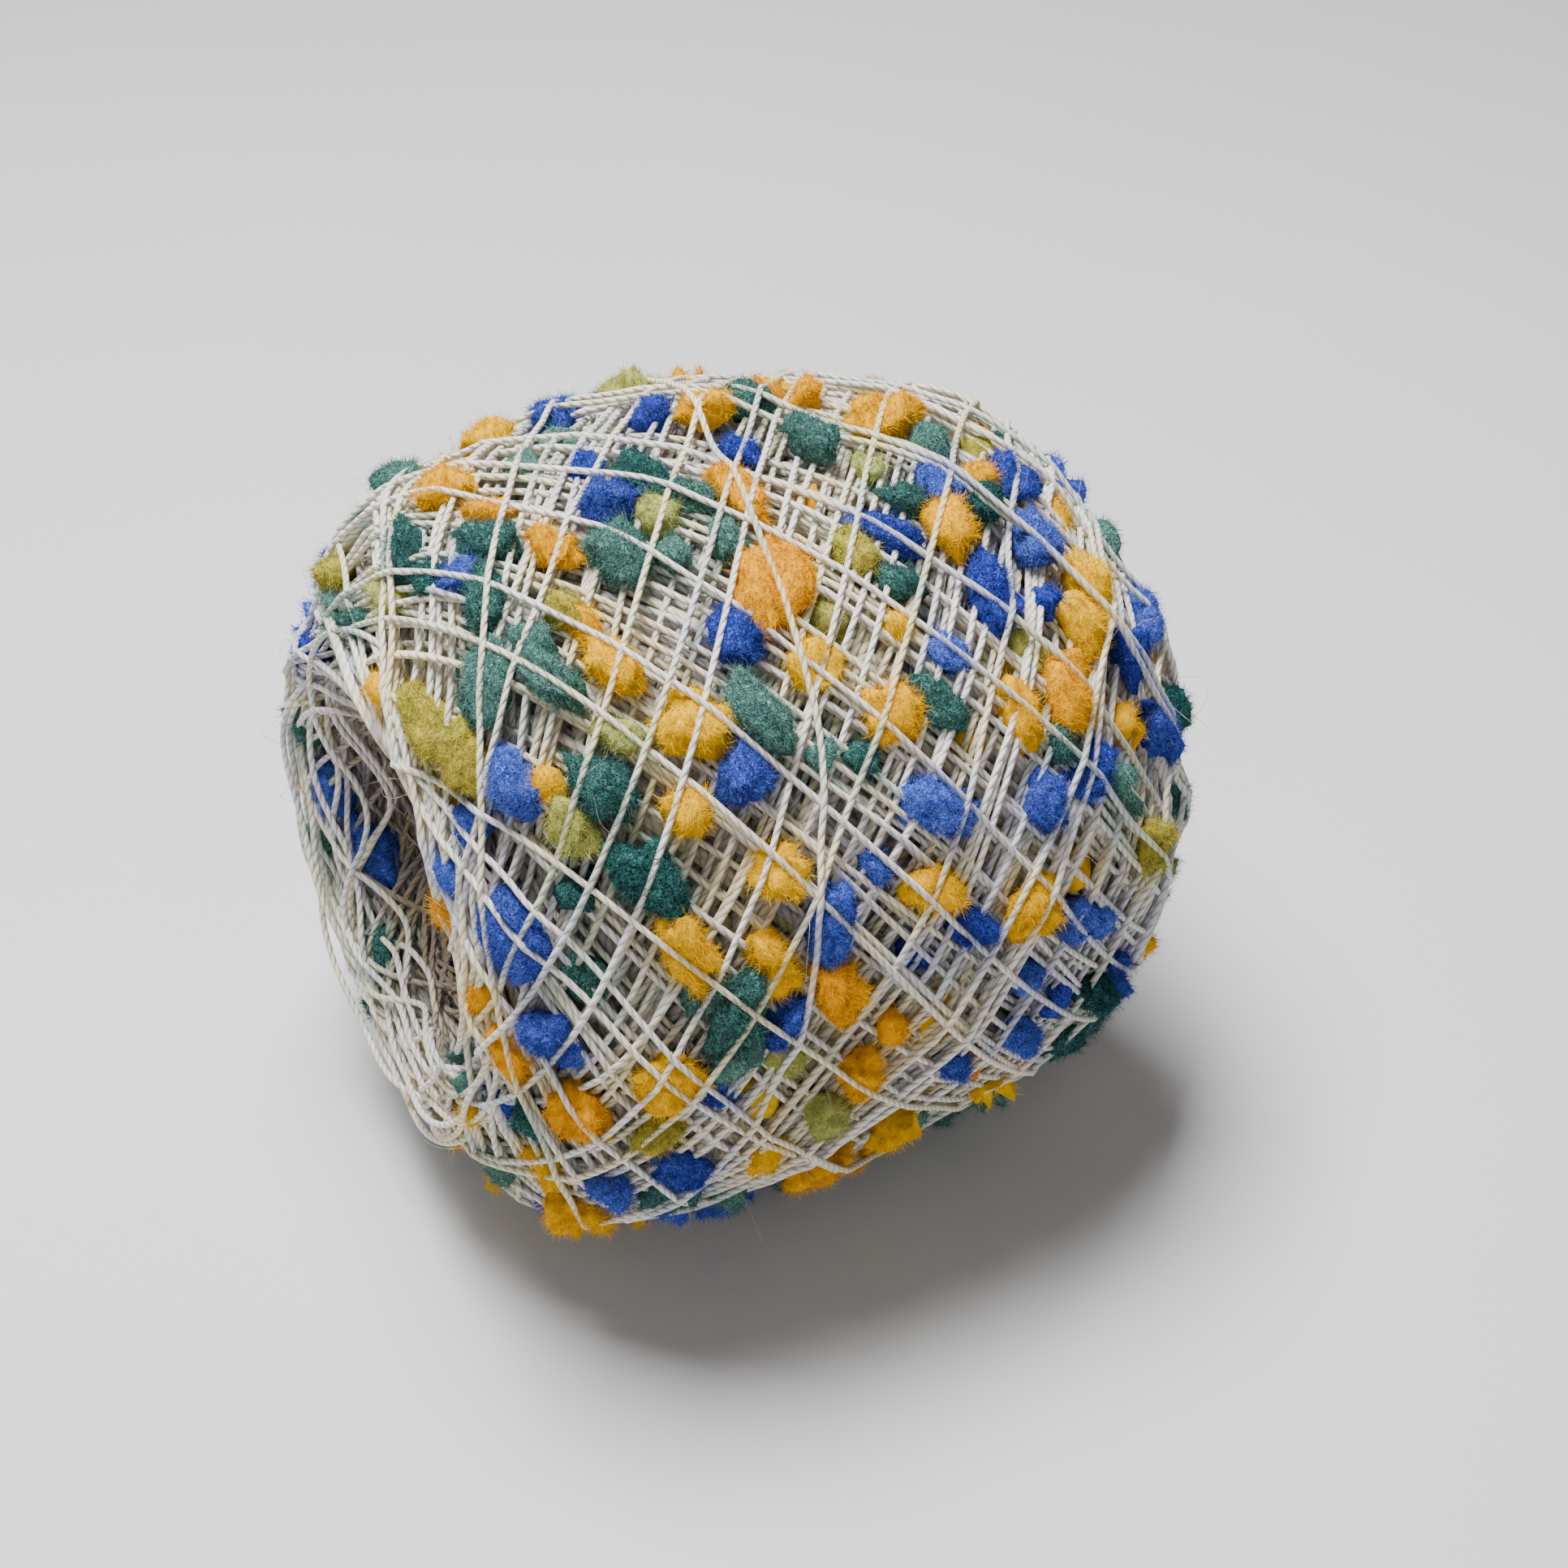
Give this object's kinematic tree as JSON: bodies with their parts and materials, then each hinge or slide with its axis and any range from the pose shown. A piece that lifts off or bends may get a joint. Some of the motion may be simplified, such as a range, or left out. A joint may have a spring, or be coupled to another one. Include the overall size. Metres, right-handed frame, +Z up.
{
  "type": "ball of dot yarn",
  "caption": "Ball of fine white yarn carrying felted dots of gold, teal, blue and olive, wound crosswise round an open core with a flared mouth, resting on a small flat spot.",
  "frame": {"origin": "centre of the small flat spot that the ball rests on", "axes": "+Z up; X is the winding axis, with the wide mouth of the core facing -X; the side seen in the picture faces -Y"},
  "size_m": [0.085, 0.0893, 0.0862],
  "materials": {
    "strand": "matte two-ply strand, ivory white with paler yellow stretches",
    "dot_gold": "soft felted pile",
    "dot_teal": "soft felted pile",
    "dot_blue": "soft felted pile",
    "dot_olive": "soft felted pile"
  },
  "bodies": {
    "root": {"wound_ball": "strand", "dot_gold_01": "dot_gold", "dot_teal_01": "dot_teal", "dot_teal_02": "dot_teal", "dot_blue_01": "dot_blue", "dot_teal_03": "dot_teal", "dot_teal_04": "dot_teal", "dot_gold_02": "dot_gold", "dot_gold_03": "dot_gold", "dot_blue_02": "dot_blue", "dot_teal_05": "dot_teal", "dot_teal_06": "dot_teal", "dot_teal_07": "dot_teal", "dot_gold_04": "dot_gold", "dot_blue_03": "dot_blue", "dot_gold_05": "dot_gold", "dot_teal_08": "dot_teal", "dot_blue_04": "dot_blue", "dot_olive_01": "dot_olive", "dot_olive_02": "dot_olive", "dot_gold_06": "dot_gold", "dot_gold_07": "dot_gold", "dot_teal_09": "dot_teal", "dot_blue_05": "dot_blue", "dot_gold_08": "dot_gold", "dot_blue_06": "dot_blue", "dot_blue_07": "dot_blue", "dot_blue_08": "dot_blue", "dot_gold_09": "dot_gold", "dot_blue_09": "dot_blue", "dot_gold_10": "dot_gold", "dot_gold_11": "dot_gold", "dot_blue_10": "dot_blue", "dot_blue_11": "dot_blue", "dot_olive_03": "dot_olive", "dot_gold_12": "dot_gold", "dot_blue_12": "dot_blue", "dot_gold_13": "dot_gold", "dot_gold_14": "dot_gold", "dot_gold_15": "dot_gold", "dot_teal_10": "dot_teal", "dot_blue_13": "dot_blue", "dot_gold_16": "dot_gold", "dot_gold_17": "dot_gold", "dot_gold_18": "dot_gold", "dot_teal_11": "dot_teal", "dot_gold_19": "dot_gold", "dot_blue_14": "dot_blue", "dot_gold_20": "dot_gold", "dot_teal_12": "dot_teal", "dot_blue_15": "dot_blue", "dot_olive_04": "dot_olive", "dot_gold_21": "dot_gold", "dot_teal_13": "dot_teal", "dot_gold_22": "dot_gold", "dot_blue_16": "dot_blue", "dot_gold_23": "dot_gold", "dot_teal_14": "dot_teal"}
  },
  "joints": []
}
